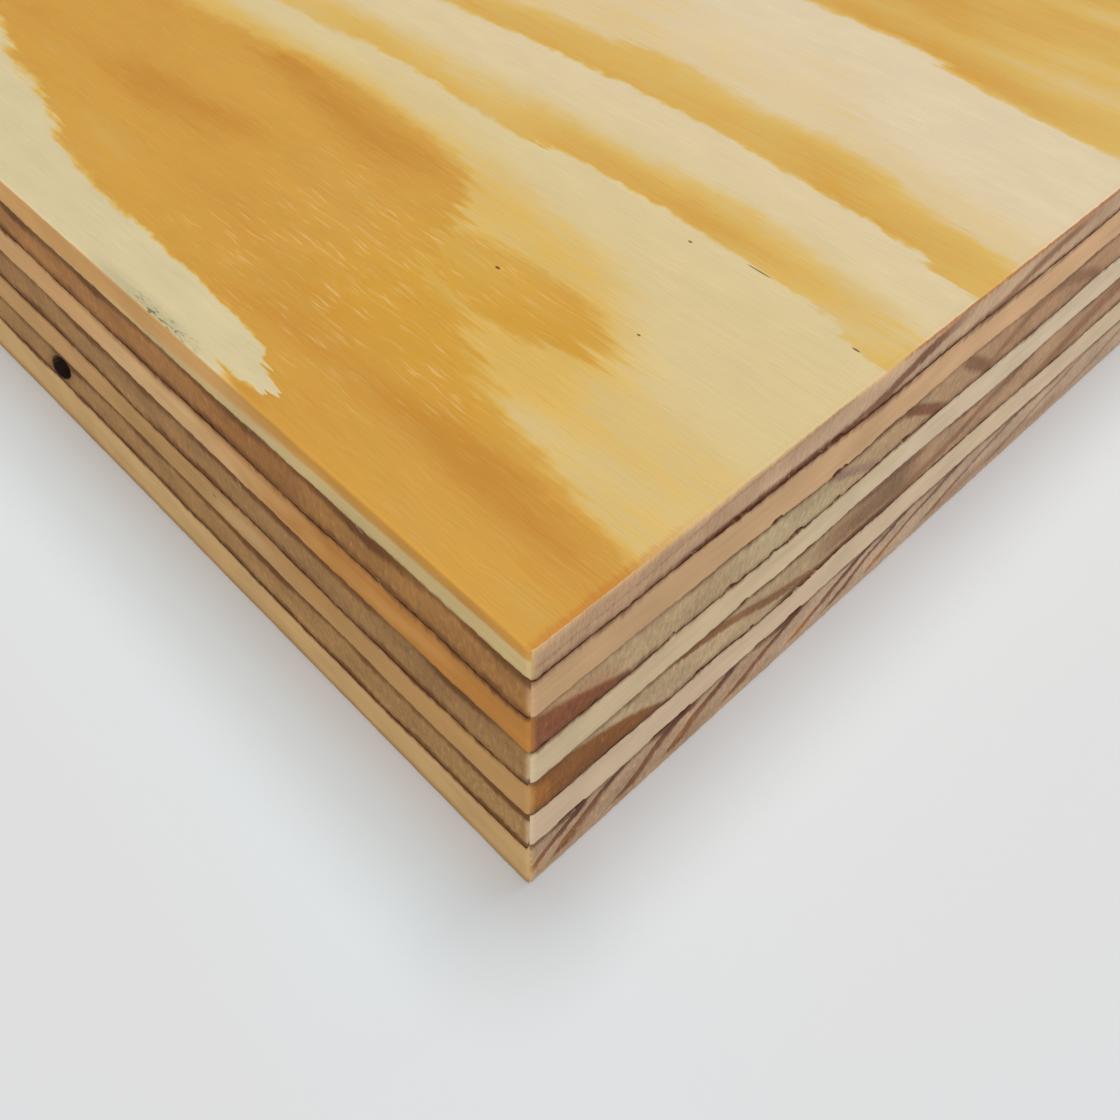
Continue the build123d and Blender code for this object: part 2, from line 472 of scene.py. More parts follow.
# Sawn edges near the corner, all in mm: "side" is the long edge and "end" the short one
EDGE_LOOKS = {
    "face_veneer": {
        "side": look(
            (207, 180, 124), (208, 172, 112), (14, 30), (0.0, 0.0),
            mark([(-1, -0.38), (5, -0.34), (10, -0.2), (15, 0.0), (20, 0.2), (26, 0.45), (60, 0.7)],
                 2.0, 0.92, 0.16, (208, 156, 92), 0.9),
            mark([(-1, 0.2), (10, 0.3), (17, 0.5)], 2.0, 0.32, 0.18, (202, 144, 54), 0.8, 6.0)),
        "end": look(
            (190, 152, 118), (208, 173, 139), (6, 16), (0.0, 0.26),
            mark([(-1, 0.2), (9, 0.1), (60, 0.05)], 0.3, 0.14, 0.2, (222, 182, 130), 0.65, 3.0),
            mark([(0, 0.95), (5, 0.8), (9.7, 0.3), (16.6, 0.1)], 0.05, 0.07, 0.08, MID_BROWN, 0.4),
            mark([(19, 0.0), (23, 0.06), (31, 0.08), (46, 0.1)], 0.16, 0.12, 0.1, (180, 108, 62), 0.75, 3.0),
            mark([(6.5, 1.6), (9, 1.55), (14, 1.5), (17, 1.46), (18, 1.36), (19, 1.2), (20, 0.96),
                  (21.4, 0.66), (23, 0.45), (25, 0.28)], 0.24, 0.34, 0.14, (126, 78, 52), 0.88, 4.0),
            mark([(25, 1.6), (27, 1.5), (29, 1.08), (31, 0.7), (33, 0.5), (35.5, 0.35)],
                 0.25, 0.3, 0.2, (146, 102, 70), 0.85, 4.0),
            mark([(7, 1.55), (17.5, 1.55)], 0.14, 0.15, 0.08, (100, 54, 34), 0.85),
            mark([(17.5, 1.56), (44, 1.56)], 0.1, 0.15, 0.1, (124, 84, 60), 0.5)),
    },
    "upper_crossband": {
        "side": look(
            (167, 118, 62), (168, 116, 64), (10, 30), (0.62, 0.5),
            mark([(12, 2.7), (20, 2.8)], 1.4, 1.4, 0.4, (150, 98, 46), 0.6, 3.0)),
        "end": look(
            (206, 166, 122), (221, 177, 132), (8, 30), (0.32, 0.04),
            mark([(8, 1.6), (17, 1.6)], 0.3, 0.08, 0.08, (108, 62, 40), 0.8, 1.5)),
    },
    "upper_core": {
        "side": look(
            (191, 129, 56), (216, 174, 120), (9, 23), (0.3, 0.0),
            mark([(-1, 4.0), (60, 4.0)], 0.2, 0.5, 0.25, (178, 122, 66), 0.5),
            mark([(4, 5.0), (9, 5.3), (14, 5.0)], 0.3, 0.5, 0.3, (208, 152, 84), 0.5, 3.0),
            mark([(28, 5.0), (60, 5.0)], 2.0, 2.0, 0.5, (205, 156, 102), 0.8, 5.0)),
        "end": look(
            (191, 162, 122), (183, 142, 106), (15, 32), (0.34, 0.34),
            mark([(11, 5.0), (19, 5.0)], 1.2, 1.2, 0.5, (196, 176, 138), 0.6, 4.0),
            mark([(-1, 3.9), (2, 4.4), (5, 5.5)], 0.5, 3.0, 0.5, (184, 138, 98), 0.6, 2.0),
            mark([(-1, 3.8), (0, 4.0), (1.2, 4.4), (2.9, 5.05), (4.4, 5.7), (5.6, 6.3)],
                 0.0, 3.0, 0.2, (138, 78, 44), 0.93),
            mark([(16.5, 4.0), (20.4, 6.1)], 0.34, 0.3, 0.22, (156, 124, 108), 0.75),
            mark([(21.4, 3.9), (25.5, 6.25)], 0.36, 0.32, 0.14, (130, 78, 52), 0.86),
            mark([(25.8, 3.9), (29.5, 6.2)], 0.36, 0.42, 0.2, (134, 92, 64), 0.82),
            mark([(28.6, 6.1), (31, 4.8), (33.6, 4.2), (37, 5.0), (39.5, 6.2)],
                 0.3, 0.4, 0.25, (142, 102, 74), 0.7)),
    },
    "centre_crossband": {
        "side": look((160, 119, 70), (162, 120, 72), (10, 30), (0.54, 0.46)),
        "end": look((214, 190, 151), (223, 200, 168), (8, 30), (0.24, 0.06)),
    },
    "lower_core": {
        "side": look(
            (193, 147, 88), (186, 142, 86), (3, 12), (0.3, 0.0),
            mark([(16, 10.6), (18, 10.0), (22, 10.2)], 0.5, 0.7, 0.4, (206, 170, 120), 0.5, 2.5),
            mark([(11, 9.4), (16, 9.6)], 0.8, 0.6, 0.5, (174, 128, 70), 0.6, 2.5),
            mark([(21, 9.7), (25, 10.1), (31, 9.9)], 0.8, 0.8, 0.5, (172, 130, 80), 0.5, 3.0),
            mark([(30, 9.9), (60, 9.9)], 1.0, 1.0, 0.5, (200, 154, 98), 0.8, 5.0),
            mark([(20.7, 9.68), (21.05, 9.72)], 0.07, 0.07, 0.05, (96, 62, 36), 0.9, 0.2)),
        "end": look(
            (190, 162, 124), (184, 147, 112), (14, 30), (0.34, 0.4),
            mark([(-1, 8.3), (1.5, 8.45), (3, 8.85), (5.2, 9.65), (7.8, 11.0), (8.4, 11.4)],
                 0.0, 3.0, 0.2, (130, 76, 22), 0.93),
            mark([(-1, 9.0), (0.6, 9.4), (1.4, 10.4)], 0.4, 1.6, 0.5, (176, 112, 44), 0.6),
            mark([(7.4, 8.4), (9.5, 8.6), (11.4, 8.9)], 0.3, 0.4, 0.15, (138, 96, 62), 0.85),
            mark([(7.8, 8.45), (10.9, 9.1), (13.8, 9.9), (16.9, 10.7), (18.8, 11.2)],
                 0.3, 0.3, 0.14, (140, 92, 56), 0.88),
            mark([(17.5, 9.6), (22, 9.8), (26, 9.7)], 0.8, 1.0, 0.5, (142, 106, 76), 0.85, 3.0),
            mark([(19.5, 8.6), (22, 8.75), (26, 8.8)], 0.2, 0.36, 0.2, (128, 90, 66), 0.8, 2.0),
            mark([(15, 11.0), (24.4, 11.0)], 0.2, 0.3, 0.1, (108, 72, 42), 0.88, 1.5),
            mark([(23, 11.1), (28.2, 10.3), (31.2, 9.3), (35.3, 8.5)], 0.36, 0.4, 0.25, (142, 100, 70), 0.75),
            mark([(35, 11.3), (38, 10.7), (42, 9.4), (46, 9.0)], 0.4, 0.8, 0.3, (150, 106, 72), 0.8)),
    },
    "lower_crossband": {
        "side": look((172, 131, 79), (165, 123, 73), (2, 8), (0.62, 0.46)),
        "end": look((214, 187, 155), (219, 193, 160), (8, 30), (0.24, 0.06)),
    },
    "back_veneer": {
        "side": look(
            (206, 166, 110), (207, 168, 112), (10, 30), (0.34, 0.0),
            mark([(-1, 17.4), (60, 17.3)], 0.0, 1.2, 0.35, (168, 128, 80), 0.8)),
        "end": look(
            (186, 153, 120), (196, 166, 138), (8, 24), (0.48, 0.0),
            mark([(29, 17.1), (36, 16.9), (46, 17.1)], 0.4, 0.6, 0.4, (164, 124, 96), 0.5, 5.0),
            mark([(1.2, 14.2), (2.8, 14.3)], 0.3, 0.25, 0.15, (104, 66, 50), 0.7, 0.6),
            mark([(7.6, 14.25), (10.6, 14.4)], 0.3, 0.3, 0.15, (96, 56, 44), 0.8, 0.8),
            mark([(15.8, 14.3), (18.0, 14.35)], 0.3, 0.3, 0.15, (92, 50, 40), 0.8, 0.6),
            rings={
                "count": [(-3, 0), (1.2, 1), (3.2, 2), (7.3, 3), (10.8, 4), (15.2, 5), (20.4, 6), (23.1, 7),
                          (27.4, 8), (33.5, 9), (41, 10), (60, 12)],
                "share": [(0, 0.5), (5, 0.46), (9, 0.42), (16, 0.34), (22, 0.4), (30, 0.28), (60, 0.2)],
                "lean": [(0, 0.95), (5, 1.25), (12, 1.4), (20, 1.6), (28, 2.3), (36, 3.0), (60, 3.4)],
                "middle": 15.5, "foot": 17.2}),
    },
}


# Sets the noise of one edge apart from that of the opposite one, in mm
EDGES_APART = 30.0


class Edge:
    """Where on a veneer's sawn edges a shaded point lies, in mm, and the noises that their looks share."""

    def __init__(self, nodes, place, name):
        low, high = (corner.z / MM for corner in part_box(name))
        self.index = NAMES.index(name)
        self.seed = 3.0 * self.index
        self.thickness = high - low
        share_up = nodes.add("ShaderNodeAttribute", {"attribute_name": "ply_height"}, None, out="Fac")
        self.depth_in = (1.0 - share_up) * self.thickness
        self.depth = self.depth_in + (THICKNESS - high)
        self.on_end = (HALF_LENGTH - abs(place.x)) < (HALF_WIDTH - abs(place.y))
        self.end_grain = self.on_end if VENEERS[name] == "long" else 1.0 - self.on_end
        self.along = nodes.blend(self.on_end, place.u, place.v)
        away = nodes.blend(self.on_end, place.y, place.x)
        self.flat = nodes.vector(self.along, self.depth + nodes.math("SIGN", away) * EDGES_APART)
        self.streak = nodes.noise(self.flat, 0.16, 3.4, self.seed + 1.0, rough=0.6)
        self.fuzz = nodes.noise(self.flat, 4.2, 1.9, self.seed + 2.0, rough=0.7)
        self.blot = nodes.noise(self.flat, 0.3, 0.5, self.seed + 3.0, detail=1.0)


def mark_share(nodes, along, depth, drawn):
    """Share of one mark's colour on a sawn edge."""
    line = drawn["line"]
    gap = depth - nodes.drawn_curve(along, line)
    share = nodes.within(gap, -drawn["above"], drawn["below"], drawn["soft"]) * drawn["strength"]
    first, last = line[0][0], line[-1][0]
    ends = drawn["ends"]
    if first > 0:
        share = share * nodes.smooth(along, first - ends * 0.4, first + ends * 0.6)
    return share * nodes.fade(along, last - ends * 0.8, last + ends * 0.2)


# Colours of the leaning rings at the top and lower down, and of the orange spots at their foot
RING_TOP = tone(92, 50, 38)
RING_LOW = tone(134, 86, 56)
RING_FOOT = tone(178, 112, 48)
# Depths between which the first colour gives way to the second, and the second to the third, in mm
RING_LOW_DEPTHS = (14.2, 15.8)
RING_FOOT_DEPTHS = (15.8, 16.8)
# Distances from the corner between which the leaning rings grow faint, in mm
RING_FAINT = (20.0, 46.0)


def leaning_rings(nodes, edge, rings, depth, colour):
    """Rings that cross the veneer aslant, orange at their foot here and there."""
    shift = (depth - rings["middle"]) * nodes.drawn_curve(edge.along, rings["lean"])
    at = edge.along + shift + edge.blot * 0.35
    inside = nodes.drawn_curve(at, rings["count"])
    inside = nodes.math("FRACT", inside + 0.12)
    share = nodes.drawn_curve(at, rings["share"])
    late = nodes.smooth(inside, 0.0, 0.05) * nodes.fade(inside / share, 0.6, 1.15)
    late = late * nodes.fade(depth, rings["foot"] - 0.2, rings["foot"] + 0.2)
    ring_colour = nodes.paint(nodes.smooth(depth, *RING_LOW_DEPTHS), RING_TOP, RING_LOW)
    foot = nodes.smooth(depth, *RING_FOOT_DEPTHS) * nodes.smooth(edge.blot, -0.2, 0.5, 0.0, 0.7)
    ring_colour = nodes.paint(foot, ring_colour, RING_FOOT)
    return nodes.paint(late * nodes.smooth(edge.along, *RING_FAINT, 0.93, 0.4), colour, ring_colour)


def drawn_edge(nodes, edge, shown, fray):
    """Colour of one sawn edge near the corner, from its drawn marks."""
    drift = nodes.smooth(edge.along + edge.blot * 2.5, *shown["drift"])
    colour = nodes.paint(drift, shown["near"], shown["far"])
    frayed = edge.depth + fray * 0.08
    for drawn in shown["marks"]:
        colour = nodes.paint(mark_share(nodes, edge.along, frayed, drawn), colour, drawn["colour"])
    if shown["rings"]:
        colour = leaning_rings(nodes, edge, shown["rings"], frayed, colour)
    return colour


# How strongly the plain rings show on end grain further off, by the way that the veneer's grain runs
RING_SHOW = {"long": 0.75, "cross": 0.12}


def plain_edge(nodes, edge, side_grain, end_grain, ring_show):
    """Colour of the edges further off: rings that climb and fall on end grain, and plain side grain."""
    roll = nodes.noise(edge.flat, 0.02, 0.0, edge.seed + 5.0, detail=1.0)
    ring = roll * 2.6 + (edge.depth + edge.fuzz * 0.07) * 0.34
    inside = nodes.math("FRACT", ring)
    late = nodes.smooth(inside, 0.0, 0.05) * nodes.fade(inside, 0.1, 0.26)
    ringed = nodes.paint(late * ring_show, end_grain["far"], tone(*MID_BROWN))
    return nodes.paint(edge.end_grain, side_grain["far"], ringed)


# Distance to a glue line where the veneer has none, in mm
NO_GLUE = 100.0
# How far from the corner the glue lines are barest, and where they grow faint along the end, in mm
BARE_GLUE = (9.5, 21.0)
FAINT_GLUE = (23.0, 31.0)


def glue_lines(nodes, edge, settings, looks, colour):
    """Adds a dark broken line at both faces of the veneer, a stained border on end grain, and painted shade
    in the torn gaps.
    """
    jag = nodes.noise(edge.flat, 1.7, 0.7, edge.seed + 7.0, rough=0.7)
    presence = nodes.noise(edge.flat, 0.22, 0.4, edge.seed + 8.0, detail=1.0)
    above = edge.depth_in if edge.index > 0 else edge.depth_in + NO_GLUE
    below = (edge.thickness if edge.index < len(NAMES) - 1 else NO_GLUE) - edge.depth_in
    stains = []
    for to_glue, *widths in zip((above, below), looks["side"]["border"], looks["end"]["border"]):
        border = nodes.blend(edge.on_end, *widths)
        reach = border * (0.9 + presence * 0.35) + jag * 0.13 + edge.fuzz * 0.05
        stains.append(nodes.fade(to_glue - reach, -0.34, 0.16) * nodes.smooth(border, 0.0, 0.1))
    stain = nodes.larger(*stains) * nodes.smooth(presence, -1.2, 1.0, 0.55, 0.95) * (1.0 - edge.on_end * 0.2)
    colour = nodes.paint(stain, colour, nodes.paint(edge.on_end, settings.glue_stain, settings.glue_shade))
    width = settings.glue_width * (1.0 + presence * 0.4 + jag * 0.6)
    line = nodes.fade(nodes.smaller(above, below) - width, -0.06, 0.06)
    bare = nodes.within(edge.along, *BARE_GLUE, 2.5) * (edge.on_end * 0.15 + 0.35)
    faded = 1.0 - nodes.smooth(edge.along, *FAINT_GLUE) * edge.on_end * 0.6
    line = line * (nodes.smooth(presence, -1.2, 0.8, 0.1, 0.5) * faded + bare)
    colour = nodes.paint(line, colour, settings.glue)
    # Torn places are painted near black: painted shade of the narrow gaps along the glue lines
    torn = nodes.add("ShaderNodeAttribute", {"attribute_name": "torn"}, None, out="Fac")
    ragged = nodes.smooth(jag, -0.9, 0.6, 0.45, 1.0)
    return nodes.paint(nodes.smooth(torn, 0.04, 0.4, 0.0, 0.93) * ragged, colour, settings.gap)


def edge_finish(nodes, place, settings, name):
    """Colour and relief of one veneer on the four sawn edges."""
    edge = Edge(nodes, place, name)
    looks = EDGE_LOOKS[name]
    side_grain, end_grain = looks["side"], looks["end"]
    if VENEERS[name] == "cross":
        side_grain, end_grain = end_grain, side_grain
    side = drawn_edge(nodes, edge, looks["side"], edge.streak)
    end = drawn_edge(nodes, edge, looks["end"], edge.fuzz)
    near = nodes.paint(edge.on_end, side, end)

    # Hard against the corner the end grain takes the tone of the veneer's side grain: partly its fibres
    # wrapping round the corner, partly a painted highlight along the upright corner
    wrap_and_highlight = nodes.smooth(edge.along + edge.fuzz * 0.08, 0.08, 0.4, 0.7, 0.0) * edge.end_grain
    near = nodes.paint(wrap_and_highlight, near, side_grain["near"])
    far = plain_edge(nodes, edge, side_grain, end_grain, RING_SHOW[VENEERS[name]])
    colour = nodes.paint(place.near_corner, far, near)

    # The saw's fuzz shades end grain, least on the top veneer, and streaks shade side grain
    fuzz_shade = 0.07 if name == NAMES[0] else 0.16
    side_texture = edge.streak * 0.05 + edge.blot * 0.07
    texture = nodes.blend(edge.end_grain, side_texture, edge.fuzz * fuzz_shade + edge.blot * 0.13)
    colour = nodes.scaled(colour, 1.0 + texture)
    pale = nodes.smooth(edge.fuzz, 0.6, 1.5, 0.0, 0.2) * edge.end_grain
    colour = nodes.paint(pale, colour, settings.loose_fibre)
    colour = glue_lines(nodes, edge, settings, looks, colour)
    if name == KNOT_VENEER:
        colour = knot_finish(nodes, place, settings, colour)
    return colour, nodes.blend(edge.end_grain, edge.streak * 0.5, edge.fuzz)


def from_knot(u, z):
    """How far a point of the front edge is from the middle of the knot hole, squared: 1 is the rim."""
    lean = math.radians(KNOT_LEAN)
    across = KNOT_FROM_END - u
    up = z + (KNOT_DEPTH - THICKNESS)
    long_way = (across * math.cos(lean) + up * math.sin(lean)) / KNOT_HALF_LENGTH
    short_way = (up * math.cos(lean) - across * math.sin(lean)) / KNOT_HALF_BREADTH
    return long_way * long_way + short_way * short_way


def knot_finish(nodes, place, settings, colour):
    """Knot hole walls painted near black, bark and resin with painted shade of the deep hole, and a brown
    ring round it that is partly stain and partly painted shade.
    """
    far = from_knot(place.u, place.z)
    front = place.v < KNOT_STAIN_AND_SHADE_REACH
    # Brown ring round the hole: partly stain, partly painted shade round the recess
    colour = nodes.paint(nodes.smooth(far, 0.9, 3.5, 0.4, 0.0) * front, colour, settings.glue_stain)
    # Near-black walls: bark and resin, with painted shade of the deep hole
    return nodes.paint(nodes.smooth(far, 1.0, 1.35, 0.98, 0.0) * front, colour, settings.knot)


# How dull the surfaces are, from 0 for a mirror to 1
EDGE_ROUGHNESS = 0.8
GLUE_ROUGHNESS = 0.7
FIBRE_ROUGHNESS = 0.7
FLOOR_ROUGHNESS = 0.9


def finish(nodes, colour, rough, height, settings):
    """Joins a colour, roughness and relief to the surface of bare wood."""
    bump = nodes.add("ShaderNodeBump", None, {"Strength": 1.0, "Distance": settings.bump, "Height": height})
    sockets = {"Base Color": colour, "Roughness": rough, "Normal": bump, "Specular IOR Level": settings.gloss}
    shader = nodes.add("ShaderNodeBsdfPrincipled", None, sockets)
    nodes.add("ShaderNodeOutputMaterial", None, {"Surface": shader})


def new_material(name):
    """An empty material and the writer of its nodes."""
    material = bpy.data.materials.new(name)
    material.use_nodes = True
    material.node_tree.nodes.clear()
    return material, Nodes(material.node_tree)


def edge_material(name, settings):
    """Finish of one veneer's sawn edges."""
    material, nodes = new_material(name.replace("_", " ") + " edge")
    place = Place(nodes)
    colour, height = edge_finish(nodes, place, settings, name)
    finish(nodes, colour, EDGE_ROUGHNESS, height, settings)
    return material


def glue_material(settings):
    """Dark resin on the glued sides of the veneers, seen where the edge is torn, mixed with painted shade of
    the gap.
    """
    material, nodes = new_material("glue film and gap shade")
    place = Place(nodes)
    spot = nodes.noise(place.flat, 0.9, 0.9, 55.0)
    # The gap colour here is painted shade at the bottom of the torn gaps
    colour = nodes.paint(nodes.smooth(spot, -0.6, 1.0), settings.gap, settings.glue)
    finish(nodes, colour, GLUE_ROUGHNESS, spot, settings)
    return material


def face_material(name, settings):
    """Finish of a sanded face."""
    material, nodes = new_material(name.replace("_", " ") + " face")
    place = Place(nodes)
    if name == "face_veneer":
        late = nodes.blend(place.near_corner, far_figure(nodes, place, 2.0), near_figure(nodes, place))
        colour, rough, height = face_finish(nodes, place, settings, late)
        colour = corner_marks(nodes, place, settings, colour)
    else:
        colour, rough, height = face_finish(nodes, place, settings, far_figure(nodes, place, 60.0))
    finish(nodes, colour, rough, height, settings)
    return material


def colour_setting(name, description, *shown):
    """A colour property. Its default is named in display values."""
    return FloatVectorProperty(
        name=name, description=description, subtype="COLOR", size=3, min=0.0, max=1.0, default=tone(*shown))


def length_setting(name, description, default, low, high):
    """A property for a length, in metres."""
    return FloatProperty(
        name=name, description=description, subtype="DISTANCE", unit="LENGTH",
        default=default, min=low, max=high)


class SheetSettings(bpy.types.PropertyGroup):
    """Sizes and colours of the sheet."""

    cream: colour_setting("Earlywood", "Pale wood between the rings of the face", 225, 206, 170)
    cream_pale: colour_setting("Pale tongue", "Pale wood beside the long edge", 216, 199, 156)
    cream_warm: colour_setting("Warm earlywood", "Yellower pale wood near the long edge", 219, 198, 146)
    gold: colour_setting("Golden wood", "Where latewood fades into earlywood", 220, 182, 98)
    amber: colour_setting("Latewood", "Dark bands of the face", 210, 157, 66)
    deep_amber: colour_setting("Deep latewood", "Darkest parts of the bands", 197, 137, 50)
    lively_gold: colour_setting(
        "Lively gold", "Deep yellow that shines through the latewood near the corner", 212, 158, 10)
    # Raised fibre: the fibres' own pale colour and their painted glints; it also gives the darker stretches
    # of the loose fibres
    fibre: colour_setting("Raised fibre and glint", "Short pale dashes along the grain", 234, 200, 138)
    pore: colour_setting("Pore", "Short darker dashes along the grain", 180, 132, 66)
    stain: colour_setting("Grey stain", "Blue-grey stain in the wood", 88, 80, 62)
    stain_tint: colour_setting("Faint stain", "Grey-green tint round the stain", 176, 168, 128)
    speck: colour_setting("Speck", "Small dark specks", 66, 42, 26)
    bruise: colour_setting("Bruised arris", "Darker wood on the arris of the end", 194, 116, 44)
    glue: colour_setting("Glue line", "Dark resin glue between the veneers", 94, 50, 22)
    # The glue stain also paints the ring round the knot hole, where it stands partly for shade
    glue_stain: colour_setting("Glue stain", "Wood that the glue darkened", 106, 62, 18)
    glue_shade: colour_setting(
        "Glue stain on the end", "Greyer stained wood beside the glue lines of the end", 108, 70, 44)
    # Knot hole colour: bark and resin, darkened with painted shade of the deep hole
    knot: colour_setting("Knot hole", "Bark and resin inside the knot hole", 22, 4, 1)
    # Painted shade of the torn gaps: colour that stands in for the shade at their bottom
    gap: colour_setting("Torn gap shade", "Bottom of the gaps torn along the glue lines", 84, 32, 18)
    loose_fibre: colour_setting("Loose fibre", "Fine fibres that the saw left on the edges", 232, 214, 184)
    glue_width: FloatProperty(
        name="Glue line width", description="Half the width of the dark line on the sawn edges, in mm",
        default=0.07, min=0.0, max=0.5)
    gloss: FloatProperty(
        name="Gloss", description="How much light the bare wood mirrors", default=0.2, min=0.0, max=1.0)
    bump: length_setting("Grain relief", "Height of the raised grain", 0.000014, 0.0, 0.001)
    fine_reach: length_setting(
        "Detailed edge", "How far from the corner the sawn edges have real relief", 0.058, 0.01, 0.3)
    fine_step: length_setting(
        "Detail size", "Distance between points of the detailed edge", 0.00011, 0.00005, 0.002)
    arris_radius: length_setting(
        "Arris radius", "Rounding of the arrises of the faces", 0.00015, 0.00005, 0.002)
    upright_radius: length_setting("Corner radius", "Rounding of the upright corners", 0.0003, 0.00025, 0.003)
    saw_depth: length_setting("Saw roughness", "Depth of the fuzz that the saw left", 0.00004, 0.0, 0.001)
    tear_depth: length_setting(
        "Tear depth", "Depth of the torn gaps along the glue lines", 0.0002, 0.0, 0.003)
    glue_wander: length_setting(
        "Glue line wander", "How far a glue line strays up and down", 0.00009, 0.0, 0.001)
    glue_dip: FloatProperty(
        name="Glue line dip", description="Share of their drawn bow that the glue lines have near the corner",
        subtype="FACTOR", default=1.0, min=0.0, max=1.5)
    fibre_count: IntProperty(name="Loose fibres", description="Fibres on the sawn edges", default=110, min=0)
    fibre_radius: length_setting(
        "Fibre radius", "Radius of a loose fibre at its root", 0.00001, 0.000002, 0.0002)
    knot_depth: length_setting(
        "Knot hole depth", "How far the knot hole runs into the edge", 0.004, 0.0, 0.02)
    seed: IntProperty(name="Seed", description="Another arrangement of the relief", default=4)
    floor: colour_setting("Floor", "Pale floor under the sheet", 222, 224, 226)
    # Painted tint of the floor's shade beside the sheet, against the warm light that the wood throws
    floor_shade_tint: colour_setting(
        "Painted shade tint by the sheet", "Cooler floor where the wood's warm light falls", 221, 229, 233)
    sky_light: FloatProperty(
        name="Sky", description="Even light from all round", default=0.22, min=0.0, max=2.0)
    back_light: FloatProperty(
        name="Back light", description="Lamp high behind the sheet", default=1.32, min=0.0, max=10.0)
    front_light: FloatProperty(
        name="Front light", description="Soft lamp on the camera's side", default=1.72, min=0.0, max=10.0)
    camera_focal: FloatProperty(
        name="Focal length", description="For a 36 mm wide sensor, in mm", default=35.47, min=10.0, max=200.0)


# Points round an upright corner, as shares of the turn, and round an arris, as angles in degrees
ARC_SHARES = (0.25, 0.5, 0.75)
ARRIS_ANGLES = (22.5, 45, 67.5, 90)
# Beyond the detailed corner the steps along an edge grow by this factor, up to the longest one, in metres
STEP_GROWTH = 1.2
LONGEST_STEP = 0.03


def stations(length, reach, step):
    """Distances along an edge, close together as far as reach and wider apart after it."""
    found = [0.0]
    while found[-1] < length:
        if found[-1] > reach:
            step = min(step * STEP_GROWTH, LONGEST_STEP)
        found.append(found[-1] + step)
    found[-1] = length
    return np.array(found)


def outline(settings):
    """Points round the sheet, anticlockwise from above, the way out at each, and which are corners.

    The first point is the middle of the detailed corner.
    """
    radius = settings.upright_radius
    length, width = LENGTH * MM, WIDTH * MM
    detailed = settings.fine_reach, settings.fine_step
    plain = 0.0, LONGEST_STEP

    # Each side's start, the ways along and out of it, its length, its spacing, and whether that is reversed
    sides = [
        ((length / 2, -width / 2), (0, 1), (1, 0), width, detailed, False),
        ((length / 2, width / 2), (-1, 0), (0, 1), length, plain, False),
        ((-length / 2, width / 2), (0, -1), (-1, 0), width, plain, False),
        ((-length / 2, -width / 2), (1, 0), (0, -1), length, detailed, True),
    ]
    points, outward, corners = [], [], []
    for start, way, normal, reach, spread, reverse in sides:
        start, way, normal = np.array(start), np.array(way), np.array(normal)
        straight = reach - 2 * radius
        along = stations(straight, *spread)
        if reverse:
            along = straight - along[::-1]
        for distance in along:
            points.append(start + way * (distance + radius))
            outward.append(normal)
        turn_centre = start + way * (reach - radius) - normal * radius
        for share in ARC_SHARES:
            angle = share * math.pi / 2
            out = normal * math.cos(angle) + way * math.sin(angle)
            if share == 0.5:
                corners.append(len(points))
            points.append(turn_centre + out * radius)
            outward.append(out)
    first = corners[-1]
    corners = {(corner - first) % len(points) for corner in corners}
    return np.roll(points, -first, axis=0), np.roll(outward, -first, axis=0), corners


# How much closer together the mesh rows are at the glue lines, up to 1
ROW_CROWDING = 0.6


def edge_rows(low, high, settings, round_low, round_high):
    """Heights of the mesh rows up a veneer's sawn edge, closest at the glue lines, and how far in each is."""
    radius = settings.arris_radius
    bottom, top = low + radius * round_low, high - radius * round_high
    shares = np.linspace(0, 1, max(4, round((top - bottom) / settings.fine_step)))
    shares = shares - ROW_CROWDING * np.sin(2 * math.pi * shares) / (2 * math.pi)
    rows = [(bottom + share * (top - bottom), 0.0) for share in shares]
    turns = [(radius * math.sin(a), radius * (1 - math.cos(a))) for a in map(math.radians, ARRIS_ANGLES)]
    if round_high:
        rows += [(high - radius + rise, inset) for rise, inset in turns]
    if round_low:
        rows = [(low + radius - rise, inset) for rise, inset in reversed(turns)] + rows
    return rows


# Insets of the rings of points between a veneer's edge and its middle, in metres
CAP_RINGS = (0.001, 0.003, 0.009, 0.027, 0.08, 0.24)


def cap(verts, faces, edge_ids, around, corners, height, upward):
    """Closes a veneer's flat side with rings of ever fewer points."""
    run = np.append(0.0, np.cumsum(np.linalg.norm(np.diff(around, axis=0), axis=1)))
    ring = [(k, edge_ids[k]) for k in range(len(around))]
    half = np.array([LENGTH, WIDTH]) * MM / 2
    before = 0.0
    for inset in CAP_RINGS:
        spacing = inset - before
        before = inset
        kept = [0]
        for position, (k, _) in enumerate(ring):
            if position and (k in corners or run[k] - run[ring[kept[-1]][0]] >= spacing):
                kept.append(position)
        inner = []
        for position in kept:
            k = ring[position][0]
            inner.append((k, len(verts)))
            verts.append((*(around[k] * (1 - inset / half)), height))
        for step, position in enumerate(kept):
            last = kept[step + 1] if step + 1 < len(kept) else len(ring)
            ids = [ring[p % len(ring)][1] for p in range(position, last + 1)]
            inner_a = inner[step][1]
            inner_b = inner[(step + 1) % len(inner)][1]
            turn = len(ids) // 2 if len(ids) > 2 else 0
            new = [(ids[i], ids[i + 1], inner_a) for i in range(turn)]
            if len(ids) == 2:
                new.append((ids[0], ids[1], inner_b, inner_a))
            else:
                new.append((ids[turn], inner_b, inner_a))
                new += [(ids[i], ids[i + 1], inner_b) for i in range(turn, len(ids) - 1)]
            faces += new if upward else [face[::-1] for face in new]
        ring = inner
    middle = [vert for _, vert in ring]
    faces.append(middle if upward else middle[::-1])


def store(mesh, name, kind, domain, values):
    """Keeps one value for each point or face of a mesh."""
    field = "vector" if kind == "FLOAT_VECTOR" else "value"
    mesh.attributes.new(name, kind, domain).data.foreach_set(field, values)


